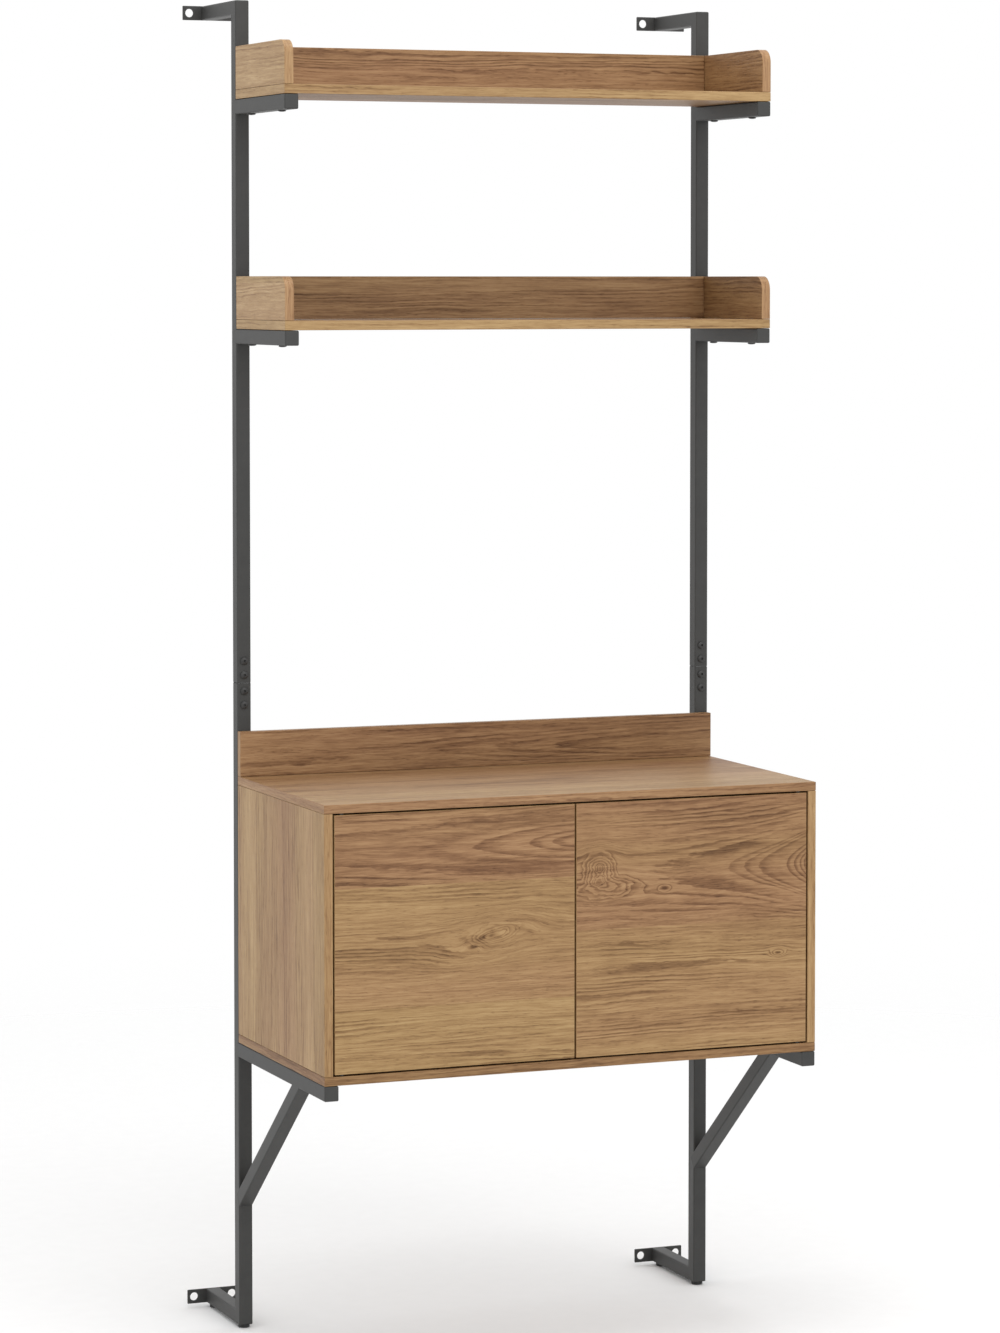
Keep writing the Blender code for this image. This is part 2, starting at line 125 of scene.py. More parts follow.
# Mesh work
ROUND_STEPS = 48
SAME_PLACE = 1e-6
SHARP_TURN = 0.6  # in radians, between the faces at an edge that still has to be softened
FUSED_SHARP_TURN = math.radians(40)
TURNED_SHARP_TURN = math.radians(35)
FLAT_FACE_WEIGHT = 80

# The camera, the floor and the lights
CAMERA_PLACE = (-2.8234, -7.3241, 1.8386)
CAMERA_TURN = 0.38207  # towards +X from straight ahead, in radians
CAMERA_PITCH = math.radians(3.0)
CAMERA_LENS = 116.73
CAMERA_SHIFT = -0.1196
FLOOR_CENTRE = (0.0, -0.3, 0.0)
FLOOR_RADIUS = 9.0
FLOOR_CORNERS = 96
FLOOR_FADE = (1.2, 4.5)  # where the floor starts and stops fading, from its centre
FLOOR_COLOURS = ((0.86, 0.86, 0.86), (0.89, 0.89, 0.89))
FLOOR_GRAIN = 30.0  # in waves per metre
FLOOR_ROUGHNESS = 0.9
FLOOR_SPECULAR = 0.1
LIGHT_TARGET = (0.0, -0.3, 1.1)
SOFTBOXES = (  # name, place, side and watts
    ("softbox_left", (-4.5, -2.6, 2.6), 3.0, 12.0),
    ("softbox_front", (1.0, -5.5, 3.2), 3.0, 55.0),
    ("softbox_top", (0.0, -1.2, 5.0), 2.5, 60.0),
)


# Numbers that vary over a surface


class Field:
    """A number that varies over a surface: a socket in a material's node tree, with arithmetic."""

    def __init__(self, tree, socket):
        self.tree = tree
        self.socket = socket

    def math(self, operation, *others, clamp=False):
        node = self.tree.nodes.new("ShaderNodeMath")
        node.operation = operation
        node.use_clamp = clamp
        for value, entry in zip((self, *others), node.inputs):
            plug(self.tree, value, entry)
        return Field(self.tree, node.outputs[0])

    def __add__(self, other):
        return self.math("ADD", other)

    def __sub__(self, other):
        return self.math("SUBTRACT", other)

    def __mul__(self, other):
        return self.math("MULTIPLY", other)

    def __truediv__(self, other):
        return self.math("DIVIDE", other)

    def size(self):
        return self.math("ABSOLUTE")

    def larger(self, other):
        return self.math("MAXIMUM", other)

    def above(self, limit):
        """1 where this is more than the limit, and 0 elsewhere."""
        return self.math("GREATER_THAN", limit)

    def fraction(self):
        """What follows the decimal point."""
        return self.math("FRACT")

    def with_legs(self, other, floor=0.0):
        """The long side of the right triangle on this and another leg, never under the floor."""
        return (self * self + other * other + floor * floor).math("SQRT")

    def ramp(self, low, high):
        """0 at low and below, 1 at high and above, with a smooth step between them."""
        node = self.tree.nodes.new("ShaderNodeMapRange")
        node.interpolation_type = "SMOOTHSTEP"
        self.tree.links.new(self.socket, node.inputs["Value"])
        node.inputs["From Min"].default_value = low
        node.inputs["From Max"].default_value = high
        return Field(self.tree, node.outputs["Result"])

    def rest(self):
        """What is left of 1."""
        return self * -1.0 + 1.0

    def blend(self, other, share):
        """This where share is 0, and the other where it is 1."""
        return self + (other - self) * share


def plug(tree, value, entry):
    if isinstance(value, Field):
        tree.links.new(value.socket, entry)
    else:
        entry.default_value = value


def noise(tree, place, detail=2.0, roughness=0.5):
    """Smooth noise about 0, from roughly -0.5 to 0.5, at a place of three fields or numbers."""
    joined = tree.nodes.new("ShaderNodeCombineXYZ")
    for value, entry in zip(place, joined.inputs):
        plug(tree, value, entry)
    texture = tree.nodes.new("ShaderNodeTexNoise")
    texture.inputs["Scale"].default_value = 1.0
    texture.inputs["Detail"].default_value = detail
    texture.inputs["Roughness"].default_value = roughness
    tree.links.new(joined.outputs[0], texture.inputs["Vector"])
    return Field(tree, texture.outputs["Fac"]) - 0.5


def object_axes(tree, output="Object"):
    """The three parts of the object's coordinates, or of its normal."""
    coordinates = tree.nodes.new("ShaderNodeTexCoord")
    split = tree.nodes.new("ShaderNodeSeparateXYZ")
    tree.links.new(coordinates.outputs[output], split.inputs[0])
    return {axis: Field(tree, split.outputs[axis]) for axis in "XYZ"}


def even_noise(tree, place, rate, detail=2.0, roughness=0.5):
    """Noise with the same rate, in waves per metre, along all three axes."""
    return noise(tree, [place[axis] * rate for axis in "XYZ"], detail, roughness)


def colour_ramp(tree, value, stops):
    node = tree.nodes.new("ShaderNodeValToRGB")
    marks = node.color_ramp.elements
    while len(marks) < len(stops):
        marks.new(0.5)
    for mark, (place, colour) in zip(marks, stops):
        mark.position = place
        mark.color = (*colour, 1.0)
    tree.links.new(value.socket, node.inputs["Fac"])
    return node.outputs["Color"]


def mix_colours(tree, first, second, share):
    node = tree.nodes.new("ShaderNodeMix")
    node.data_type = "RGBA"
    entries = [entry for entry in node.inputs if entry.type == "RGBA"]
    tree.links.new(first, entries[0])
    tree.links.new(second, entries[1])
    tree.links.new(share.socket, node.inputs["Factor"])
    return next(output for output in node.outputs if output.type == "RGBA")


def new_material(name, metallic=0.0, specular=0.5):
    material = bpy.data.materials.new(name)
    material.use_nodes = True
    shader = material.node_tree.nodes["Principled BSDF"]
    shader.inputs["Metallic"].default_value = metallic
    shader.inputs["Specular IOR Level"].default_value = specular
    return material, material.node_tree, shader


def set_surface(tree, shader, colour, roughness):
    tree.links.new(colour, shader.inputs["Base Color"])
    tree.links.new(roughness.socket, shader.inputs["Roughness"])


def add_bump(tree, shader, height, distance, strength):
    bump = tree.nodes.new("ShaderNodeBump")
    bump.inputs["Distance"].default_value = distance
    bump.inputs["Strength"].default_value = strength
    tree.links.new(height.socket, bump.inputs["Height"])
    tree.links.new(bump.outputs["Normal"], shader.inputs["Normal"])


# Oak


class Layer(NamedTuple):
    """One scale of noise in the wood: its waves per metre along and across the grain, and a weight.

    A broad layer differs from plank to plank, and has an offset of its own. A fine one has waves
    through the board's depth instead.
    """

    along: float
    across: float
    weight: float = 1.0
    offset: float = 0.0
    through: float = 0.0
    detail: float = 2.0
    roughness: float = 0.5


WANDER = Layer(1.7, 5.0, 0.022)  # how far the grain strays across the board, in metres
RIPPLE = Layer(8.0, 22.0, 0.0075)
RING_DRIFT = Layer(0.9, 40.0, 4.2, detail=1.0)  # how unevenly the rings are spaced, in rings
LINE_WAVER = Layer(34.0, 190.0, 0.55)
VIGOUR = Layer(3.1, 20.0, offset=4.0)  # how much the growth lines stand out
DRIFT = Layer(1.1, 17.0, 0.42, offset=9.0)  # of the tone
STREAK = Layer(5.0, 130.0, 0.66, through=60.0, detail=3.0, roughness=0.65)
FIBRE = Layer(20.0, 360.0, 0.72, through=200.0, roughness=0.7)
PORE = Layer(70.0, 900.0, 0.22, through=500.0, detail=1.0)
WARMTH = Layer(0.8, 11.0, 1.1, offset=2.0)  # from red to yellow
KNOT_WOBBLE = Layer(30.0, 60.0, 0.75, detail=3.0)  # of a knot's outline, in half widths

FACING = 0.6  # a normal's part along an axis, above which a face counts as facing that way
END_SHIFT = 3.3  # moves the figure on the ends and the long edges away from the one on the faces
LONG_EDGE_SHIFT = 5.7
SEED_SHIFT = 0.37
STRIP_SHIFT = 1.7  # between the figures of neighbouring planks
EDGE_CALM = 0.4  # how much fainter the streaks and lines are on a thin edge

ARCH_REACH = 0.080  # how far across the grain the arches of a plank open
ARCH_TIP = 0.002
CORE_RANGE = (0.035, 0.085)  # the distances from an arch's centre over which its boldness fades
CORE_STEADINESS = 0.35  # how much less a bold line wavers
LINE_RISE = (0.30, 0.90)  # the shares of a ring over which its line darkens, and then ends
LINE_FALL = (0.91, 1.0)
LINE_WEIGHT = 0.34
VIGOUR_RANGE = (-0.14, 0.18)  # the noise at which a line is at its weakest and its strongest
PORE_RANGE = (0.08, 0.18)
PORES_AWAY = 0.4  # how strong the pores are away from the growth lines

KNOT_TIP = 0.12
KNOT_PULL = 0.72  # how far the grain's lines are drawn round a knot
KNOT_PULL_RANGE = (0.2, 2.6)  # the distances, in half widths, over which the pull fades
KNOT_HILL_RANGE = (0.0, 1.5)
KNOT_HEART_RANGE = (0.12, 0.62)
KNOT_VIGOUR = 0.9

OAK_SPECULAR = 0.28
OAK_ROUGHNESS = 0.52
PALE_GLOSS = 0.12  # how much smoother the palest wood is than the darkest
OAK_RELIEF = 0.00022  # in metres
OAK_RELIEF_STRENGTH = 0.7
FIBRE_RELIEF = 0.5
PORE_RELIEF = 0.8
LINE_RELIEF = 0.4

STRIP_WIDTHS = (0.060, 0.140)
TONE_SPREAD = 0.07  # to either side, from one random plank to the next
HUE_SPREAD = 0.25
CENTRE_SPREAD = 0.5  # along the grain, in metres
CENTRE_SPAN = (-0.4, 1.4)  # across the grain, in strip widths from the strip's start
TAPERS = (0.015, 0.070)

RED_OAK = (
    (0.00, (0.080, 0.031, 0.011)),
    (0.30, (0.180, 0.084, 0.036)),
    (0.55, (0.288, 0.154, 0.073)),
    (0.80, (0.380, 0.221, 0.110)),
    (1.00, (0.480, 0.310, 0.165)),
)
YELLOW_OAK = (
    (0.00, (0.096, 0.046, 0.014)),
    (0.30, (0.208, 0.115, 0.044)),
    (0.55, (0.318, 0.194, 0.080)),
    (0.80, (0.412, 0.270, 0.122)),
    (1.00, (0.510, 0.360, 0.180)),
)


class Plank(NamedTuple):
    """One strip of veneer: from start across the grain, with its tone, hue and figure.

    The figure is a set of nested arches round a centre. Its taper is how blunt they are, and bold
    is how much they stand out near the centre. The pitch is how many rings there are in a metre.
    """

    start: float
    tone: float
    hue: float
    centre_along: float
    centre_across: float
    taper: float
    bold: float = 0.0
    pitch: float = 112.0


class Knot(NamedTuple):
    """An oval knot. The lines of the grain close round it like the contour lines of a hill.

    Its half lengths run along and across the grain. The heart is how much darker its middle is, the
    climb is the hill's height in half widths, and the lean is the slope of its long axis.
    """

    along: float
    across: float
    half_along: float
    half_across: float
    heart: float
    climb: float = 2.2
    lean: float = 0.0


def random_planks(seed, low, high, tone, hue, centre_along):
    """Strips with random widths and figures, from low to high across the grain."""
    pick = random.Random(seed)
    planks = []
    start = low - pick.uniform(0.0, STRIP_WIDTHS[0])
    while start < high:
        width = pick.uniform(*STRIP_WIDTHS)
        plank = Plank(
            start=start,
            tone=tone + pick.uniform(-TONE_SPREAD, TONE_SPREAD),
            hue=min(1.0, max(0.0, hue + pick.uniform(-HUE_SPREAD, HUE_SPREAD))),
            centre_along=centre_along + pick.uniform(-CENTRE_SPREAD, CENTRE_SPREAD),
            centre_across=start + width * pick.uniform(*CENTRE_SPAN),
            taper=pick.uniform(*TAPERS),
        )
        planks.append(plank)
        start += width
    return planks


class Grain:
    """The grain of a board as fields over its surface: u runs along it and v across it, in metres.

    axes names the board's axes along the grain, across it and through its thickness. A thin edge
    carries its own band of veneer, with u along the edge: edge is 1 there, and 0 on the two faces.
    under is 1 where a face looks down, and deep runs into the board. flat_v is v before the grain
    strays, and strip has a value of its own on each plank. hills, climb and heart are the knots'.
    """

    def __init__(self, tree, axes, seed, planks):
        self.tree = tree
        self.seed = seed
        along, across, through = axes
        place = object_axes(tree)
        normal = object_axes(tree, "Normal")
        end = normal[along].size().above(FACING)
        long_edge = normal[across].size().above(FACING)
        self.edge = (end + long_edge).math("MINIMUM", 1.0)
        # under marks the faces that look down, where oak() can paint shade
        self.under = (normal["Z"] * -1.0).above(FACING)
        self.u = place[along].blend(place[across], end) + end * END_SHIFT
        self.flat_v = place[across].blend(place[through], self.edge)
        deep = place[through].blend(place[across], long_edge).blend(place[along], end)
        self.deep = deep + (long_edge * LONG_EDGE_SHIFT + seed * SEED_SHIFT)
        self.planks = planks
        self.steps = [self.flat_v.above(plank.start) for plank in planks]
        self.strip = self.by_strip([STRIP_SHIFT * i + seed for i in range(len(planks))])
        self.v = self.flat_v
        self.v = self.v + self.noise(WANDER) * WANDER.weight + self.noise(RIPPLE) * RIPPLE.weight
        self.hills = 0.0
        self.climb = 0.0
        self.heart = 0.0

    def by_strip(self, values):
        """A field that holds a value of its own over each plank's strip."""
        total = self.steps[0] * 0.0 + values[0]
        for step, before, after in zip(self.steps[1:], values, values[1:]):
            total = total + step * (after - before)
        return total

    def of_plank(self, part):
        """A field that holds a part of each plank's figure, such as its tone, over its strip."""
        return self.by_strip([getattr(plank, part) for plank in self.planks])

    def noise(self, layer, v=None):
        """A layer's noise, before its weight. It may run across by another field than v."""
        third = self.deep * layer.through if layer.through else self.strip + layer.offset
        place = (self.u * layer.along, (v or self.v) * layer.across, third)
        return noise(self.tree, place, layer.detail, layer.roughness)

    def close_round(self, knots):
        """Draws the grain's lines round the knots. hills is how far up a knot's hill a point is,
        climb is how much that adds to its ring, and heart is how much darker the point is."""
        for number, knot in enumerate(knots):
            place = (
                self.u * KNOT_WOBBLE.along,
                self.flat_v * KNOT_WOBBLE.across,
                self.seed + number,
            )
            wobble = noise(self.tree, place, KNOT_WOBBLE.detail) * KNOT_WOBBLE.weight
            off_u = (self.u - knot.along) / knot.half_along
            lean = (self.u - knot.along) * knot.lean
            off_v = (self.flat_v - knot.across - lean) / knot.half_across
            far = off_u.with_legs(off_v, KNOT_TIP) + wobble
            pull = far.ramp(*KNOT_PULL_RANGE).rest() * KNOT_PULL
            self.v = self.v - (self.v - knot.across) * pull
            hill = far.ramp(*KNOT_HILL_RANGE).rest()
            self.hills = hill.larger(self.hills)
            self.climb = hill * (knot.half_across * knot.climb) + self.climb
            self.heart = far.ramp(*KNOT_HEART_RANGE).rest() * knot.heart + self.heart

    def growth_lines(self):
        """Two fields: the line that ends each ring, and the same line as strong as it is drawn."""
        reach = (self.u - self.of_plank("centre_along")) * self.of_plank("taper")
        reach = reach / (reach.size() / ARCH_REACH + 1.0)
        rings = (self.v - self.of_plank("centre_across")).with_legs(reach, ARCH_TIP)
        core = rings.ramp(*CORE_RANGE).rest() * self.of_plank("bold")
        rings = rings + self.climb
        uneven = self.noise(RING_DRIFT, rings) * RING_DRIFT.weight
        waver = self.noise(LINE_WAVER) * (core * -CORE_STEADINESS + LINE_WAVER.weight)
        phase = rings * self.of_plank("pitch") + uneven + waver
        share = phase.fraction()
        line = share.ramp(*LINE_RISE) * share.ramp(*LINE_FALL).rest()
        vigour = self.noise(VIGOUR).ramp(*VIGOUR_RANGE).larger(core)
        return line, line * vigour.larger(self.hills * KNOT_VIGOUR)


def oak(
    name, axes, seed, planks, knots=(), edge_tone=0.0, edge_hue=0.0, lines=1.0, underside_shade=0.0
):
    """Oiled oak. lines is the strength of its growth lines. The edge_tone and edge_hue are added on
    thin edges. The last argument is a painted shade, added to the tone of faces that look down."""
    material, tree, shader = new_material(name, specular=OAK_SPECULAR)
    grain = Grain(tree, axes, seed, planks)
    grain.close_round(knots)
    line, drawn_line = grain.growth_lines()
    drift = grain.noise(DRIFT)
    streak = grain.noise(STREAK)
    fibre = grain.noise(FIBRE)
    pore = grain.noise(PORE).ramp(*PORE_RANGE) * (line * (1 - PORES_AWAY) + PORES_AWAY)
    calm = grain.edge * -EDGE_CALM + 1.0

    value = grain.of_plank("tone") + drift * DRIFT.weight + streak * calm * STREAK.weight
    value = value + fibre * FIBRE.weight
    value = value - drawn_line * calm * (LINE_WEIGHT * lines)
    value = value - pore * PORE.weight - grain.heart
    # The last term is painted shade on the faces that look down.
    value = value + grain.edge * edge_tone + grain.under * underside_shade
    warmth = grain.of_plank("hue") + grain.edge * edge_hue + grain.noise(WARMTH) * WARMTH.weight
    warmth = warmth.math("ADD", 0.0, clamp=True)

    red = colour_ramp(tree, value, RED_OAK)
    yellow = colour_ramp(tree, value, YELLOW_OAK)
    roughness = value * -PALE_GLOSS + OAK_ROUGHNESS
    set_surface(tree, shader, mix_colours(tree, red, yellow, warmth), roughness)
    relief = fibre * FIBRE_RELIEF - pore * PORE_RELIEF - drawn_line * LINE_RELIEF
    add_bump(tree, shader, relief, OAK_RELIEF, OAK_RELIEF_STRENGTH)
    return material


# Other finishes


def between(tree, shade, dark, light):
    """A colour between two near ones, for a shade that is mostly from 0.2 to 0.8."""
    return colour_ramp(tree, shade, ((0.2, dark), (0.8, light)))


def powder_coat():
    """Dark grey powder coat: a fine orange peel, with a faint mottle in colour and gloss."""
    material, tree, shader = new_material("dark_powder_coat_finish", specular=0.26)
    place = object_axes(tree)
    mottle = even_noise(tree, place, rate=55.0, detail=3.0)
    peel = even_noise(tree, place, rate=1300.0)
    dust = even_noise(tree, place, rate=420.0).ramp(0.14, 0.30)
    shade = mottle * 0.6 + peel * 0.3 + dust * 0.08 + 0.5
    colour = between(tree, shade, dark=(0.038, 0.038, 0.037), light=(0.054, 0.054, 0.052))
    set_surface(tree, shader, colour, mottle * 0.12 + peel * 0.10 + 0.47)
    add_bump(tree, shader, peel + mottle * 0.4, distance=0.00012, strength=0.5)
    return material


def fine_grained(name, dark, light, roughness, rate, metallic=0.0):
    """A surface with a fine grain between two near colours: moulded plastic, or blackened steel."""
    material, tree, shader = new_material(name, metallic)
    place = object_axes(tree)
    grain = even_noise(tree, place, rate, detail=3.0, roughness=0.6)
    smudge = even_noise(tree, place, rate=90.0)
    colour = between(tree, grain * 0.7 + smudge * 0.8 + 0.5, dark, light)
    set_surface(tree, shader, colour, smudge * 0.25 + grain * 0.1 + roughness)
    add_bump(tree, shader, grain, distance=0.00008, strength=0.5)
    return material


def turned_metal(name, dark, light, roughness):
    """Metal with faint turning marks along its height."""
    material, tree, shader = new_material(name, metallic=1.0)
    place = object_axes(tree)
    marks = noise(tree, (place["X"] * 60.0, place["Y"] * 60.0, place["Z"] * 2600.0))
    smudge = even_noise(tree, place, rate=140.0)
    colour = between(tree, marks * 0.6 + smudge + 0.5, dark, light)
    set_surface(tree, shader, colour, smudge * 0.3 + marks * 0.15 + roughness)
    add_bump(tree, shader, marks, distance=0.00005, strength=0.4)
    return material


STEEL = powder_coat()
PLASTIC = fine_grained(
    "black_plastic_finish",
    dark=(0.010, 0.010, 0.010),
    light=(0.022, 0.022, 0.022),
    roughness=0.5,
    rate=700.0,
)
BLACK_OXIDE = fine_grained(
    "black_screw_finish",
    dark=(0.022, 0.022, 0.022),
    light=(0.044, 0.043, 0.042),
    roughness=0.40,
    rate=1500.0,
    metallic=0.25,
)
RUBBER = fine_grained(
    "soft_tip_finish",
    dark=(0.020, 0.020, 0.021),
    light=(0.034, 0.034, 0.035),
    roughness=0.75,
    rate=900.0,
)
ZINC = turned_metal(
    "zinc_finish", dark=(0.42, 0.43, 0.45), light=(0.66, 0.67, 0.68), roughness=0.32
)
BURNISHED = turned_metal(
    "burnished_finish", dark=(0.035, 0.033, 0.031), light=(0.060, 0.057, 0.054), roughness=0.40
)
BRASS = turned_metal(
    "brass_finish", dark=(0.52, 0.34, 0.13), light=(0.78, 0.58, 0.27), roughness=0.28
)


# Meshes


def to_object(name, shape, material=None):
    mesh = bpy.data.meshes.new(name)
    shape.normal_update()
    shape.to_mesh(mesh)
    shape.free()
    mesh.shade_smooth()
    obj = bpy.data.objects.new(name, mesh)
    bpy.context.scene.collection.objects.link(obj)
    if material:
        mesh.materials.append(material)
    return obj


def finish_piece(obj, body, nodes=()):
    """Keeps flat faces flat where they meet small rounded edges, and enters the piece."""
    weigh = obj.modifiers.new("weighted_normals", "WEIGHTED_NORMAL")
    weigh.keep_sharp = True
    weigh.weight = FLAT_FACE_WEIGHT
    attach(obj, body)
    if nodes:
        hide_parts(*nodes)


def block(low, high):
    low, high = Vector(low), Vector(high)
    shape = bmesh.new()
    place = Matrix.Translation((low + high) / 2) @ Matrix.Diagonal((*(high - low), 1.0))
    bmesh.ops.create_cube(shape, size=1.0, matrix=place)
    return shape


def soften(shape, edges, radius, steps):
    bmesh.ops.bevel(
        shape,
        geom=edges,
        offset=radius,
        offset_type="OFFSET",
        segments=steps,
        profile=0.5,
        affect="EDGES",
        clamp_overlap=True,
    )


def lies_at(edge, axis, level):
    """Whether an edge lies in the plane at a level along an axis, which is 0 for X to 2 for Z."""
    return all(abs(vert.co[axis] - level) < SAME_PLACE for vert in edge.verts)


def sharp_edges(shape):
    shape.normal_update()
    return [edge for edge in shape.edges if edge.calc_face_angle(0.0) > SHARP_TURN]


def board(name, node, material):
    """A board on the place of a CAD node, with softly rounded edges."""
    shape = block(*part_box(node))
    soften(shape, shape.edges[:], BOARD_EDGE, BOARD_EDGE_STEPS)
    finish_piece(to_object(name, shape, material), FRAME_BODY, [node])


def end_panel(name, node, material):
    """A tray's end panel: its front top corner is rounded, then every sharp edge is softened."""
    shape = block(*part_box(node))
    top = max(vert.co.z for vert in shape.verts)
    front = min(vert.co.y for vert in shape.verts)
    corner = [edge for edge in shape.edges if lies_at(edge, 2, top) and lies_at(edge, 1, front)]
    soften(shape, corner, TRAY_CORNER, TRAY_CORNER_STEPS)
    soften(shape, sharp_edges(shape), BOARD_EDGE, BOARD_EDGE_STEPS)
    finish_piece(to_object(name, shape, material), FRAME_BODY, [node])


def bar(low, high):
    """A bar with rounded edges."""
    shape = block(low, high)
    soften(shape, shape.edges[:], TUBE_CORNER, TUBE_CORNER_STEPS)
    return shape


def sawn_bar(low, high, sawn_end):
    """An upright bar with rounded edges, whose sawn end, "top" or "bottom", is only eased."""
    shape = block(low, high)
    heights = [vert.co.z for vert in shape.verts]
    level = max(heights) if sawn_end == "top" else min(heights)
    others = [edge for edge in shape.edges if not lies_at(edge, 2, level)]
    soften(shape, others, TUBE_CORNER, TUBE_CORNER_STEPS)
    rim = [edge for edge in sharp_edges(shape) if lies_at(edge, 2, level)]
    soften(shape, rim, SEAM_EDGE, SEAM_EDGE_STEPS)
    return shape


def cylinder(place, radius, depth):
    shape = bmesh.new()
    bmesh.ops.create_cone(
        shape,
        cap_ends=True,
        segments=ROUND_STEPS,
        radius1=radius,
        radius2=radius,
        depth=depth,
        matrix=place,
    )
    return shape


def fuse(name, solids, cuts, material):
    """One closed skin round the solids, less the cuts."""
    first, *rest = [to_object(f"{name}_solid_{i}", solid) for i, solid in enumerate(solids)]
    holes = [to_object(f"{name}_cut_{i}", cut) for i, cut in enumerate(cuts)]
    for operation, others in (("UNION", rest), ("DIFFERENCE", holes)):
        for other in others:
            step = first.modifiers.new(other.name, "BOOLEAN")
            step.operation = operation
            step.object = other
            step.solver = "EXACT"
    graph = bpy.context.evaluated_depsgraph_get()
    mesh = bpy.data.meshes.new_from_object(first.evaluated_get(graph))
    for obj in (first, *rest, *holes):
        bpy.data.objects.remove(obj)
    mesh.name = name
    mesh.materials.clear()
    mesh.materials.append(material)
    mesh.shade_smooth()
    mesh.set_sharp_from_angle(angle=FUSED_SHARP_TURN)
    obj = bpy.data.objects.new(name, mesh)
    bpy.context.scene.collection.objects.link(obj)
    return obj


def ring_of_verts(shape, radius, height, corners):
    """A ring about Z: round for 0 corners, and else a polygon with that radius to its flats."""
    if radius == 0:
        return [shape.verts.new((0.0, 0.0, height))]
    ring = []
    for step in range(ROUND_STEPS):
        angle = 2 * math.pi * step / ROUND_STEPS
        reach = radius
        if corners:
            wedge = 2 * math.pi / corners
            reach = radius / math.cos((angle % wedge) - wedge / 2)
        ring.append(shape.verts.new((reach * math.cos(angle), reach * math.sin(angle), height)))
    return ring


def turned(rings):
    """A solid of revolution about Z. Each ring is a radius, a height and a number of corners."""
    shape = bmesh.new()
    made = [ring_of_verts(shape, *ring) for ring in rings]
    for upper, lower in zip(made, made[1:]):
        for i in range(ROUND_STEPS):
            j = (i + 1) % ROUND_STEPS
            loop = [upper[i % len(upper)], lower[i % len(lower)]]
            loop += [lower[j % len(lower)], upper[j % len(upper)]]
            shape.faces.new(list(dict.fromkeys(loop)))
    bmesh.ops.recalc_face_normals(shape, faces=shape.faces)
    return shape


def round_rings(radius, outline):
    """Rings for turned(), from an outline of insets from a radius, with their heights."""
    return [(radius - inset, height, 0) for inset, height in outline]


def place_turned(name, shape, place, material, nodes=()):
    bmesh.ops.transform(shape, matrix=place, verts=shape.verts)
    obj = to_object(name, shape, material)
    obj.data.set_sharp_from_angle(angle=TURNED_SHARP_TURN)
    finish_piece(obj, FRAME_BODY, nodes)


# The frames


TO_FRONT = Matrix.Rotation(math.pi / 2, 4, "X")  # turns +Z to -Y
DOWN = Matrix.Rotation(math.pi, 4, "X")  # turns +Z to -Z


def wall_plate(low, high):
    """A plate against the wall, as wide and as tall as a box from low to high."""
    plate = block((low.x, -PLATE_THICKNESS, low.z), (high.x, 0.0, high.z))
    corners = [edge for edge in plate.edges if not lies_at(edge, 1, edge.verts[0].co.y)]
    soften(plate, corners, PLATE_CORNER, PLATE_CORNER_STEPS)
    soften(plate, sharp_edges(plate), PLATE_EDGE, PLATE_EDGE_STEPS)
    return plate


def wall_arm_and_plate(node, post_front):
    """The bar from a post's front to the wall, its plate, and the cutters of the plate's holes."""
    low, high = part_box(node)
    x = (low.x + high.x) / 2
    z = (low.z + high.z) / 2
    half = TUBE / 2
    arm = bar((x - half, post_front, z - half), (x + half, -PLATE_THICKNESS / 2, z + half))
    holes = []
    for sign in SIDES.values():
        middle = Vector((x + sign * PLATE_HOLE_SPACING / 2, -PLATE_THICKNESS / 2, z))
        place = Matrix.Translation(middle) @ TO_FRONT
        holes.append(cylinder(place, PLATE_HOLE_RADIUS, 4 * PLATE_THICKNESS))
    return [arm, wall_plate(low, high)], holes


def carrying_arm(node, start_y):
    low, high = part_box(node)
    return bar(low, (high.x, start_y, high.z + ARM_LIFT))


def brace_bar(side):
    """The sloping bar, run on into the post and the arm."""
    low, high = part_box(f"cabinet_brace_{side}")
    slope = math.atan2(BRACE_DROP, BRACE_REACH)
    along = Vector((0.0, -math.cos(slope), math.sin(slope)))
    across = Vector((0.0, -math.sin(slope), -math.cos(slope)))
    upper_edge_start = Vector(((low.x + high.x) / 2, high.y, high.z - BRACE_DROP))
    middle_start = upper_edge_start + across * TUBE / 2
    start = middle_start - along * BRACE_INTO_POST
    end = middle_start + along * (math.hypot(BRACE_DROP, BRACE_REACH) + BRACE_INTO_ARM)
    half = TUBE / 2
    shape = bar((-half, -half, 0.0), (half, half, (end - start).length))
    turn = (end - start).to_track_quat("Z", "X").to_matrix().to_4x4()
    bmesh.ops.transform(shape, matrix=Matrix.Translation(start) @ turn, verts=shape.verts)
    return shape


def build_upper_frame(side):
    low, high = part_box(f"post_upper_{side}")
    solids, holes = wall_arm_and_plate(f"top_wall_arm_{side}", low.y)
    tray_arms = [f"{tray}_tray_arm_{side}" for tray in TRAYS]
    arms = [carrying_arm(node, (low.y + high.y) / 2) for node in tray_arms]
    post = sawn_bar(low, high, "bottom")
    skin = fuse(f"upper_side_frame_{side}", [post, *solids, *arms], holes, STEEL)
    nodes = [f"post_upper_{side}", f"top_wall_arm_{side}", *tray_arms]
    finish_piece(skin, FRAME_BODY, nodes)


def build_lower_frame(side):
    low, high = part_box(f"post_lower_{side}")
    solids, holes = wall_arm_and_plate(f"foot_wall_arm_{side}", low.y)
    arm = carrying_arm(f"cabinet_arm_{side}", (low.y + high.y) / 2)
    post = sawn_bar(low, high, "top")
    solids = [post, *solids, arm, brace_bar(side)]
    skin = fuse(f"lower_side_frame_{side}", solids, holes, STEEL)
    nodes = [f"post_lower_{side}", f"foot_wall_arm_{side}"]
    nodes += [f"cabinet_arm_{side}", f"cabinet_brace_{side}"]
    finish_piece(skin, FRAME_BODY, nodes)


def build_frames():
    for side in SIDES:
        build_upper_frame(side)
        build_lower_frame(side)


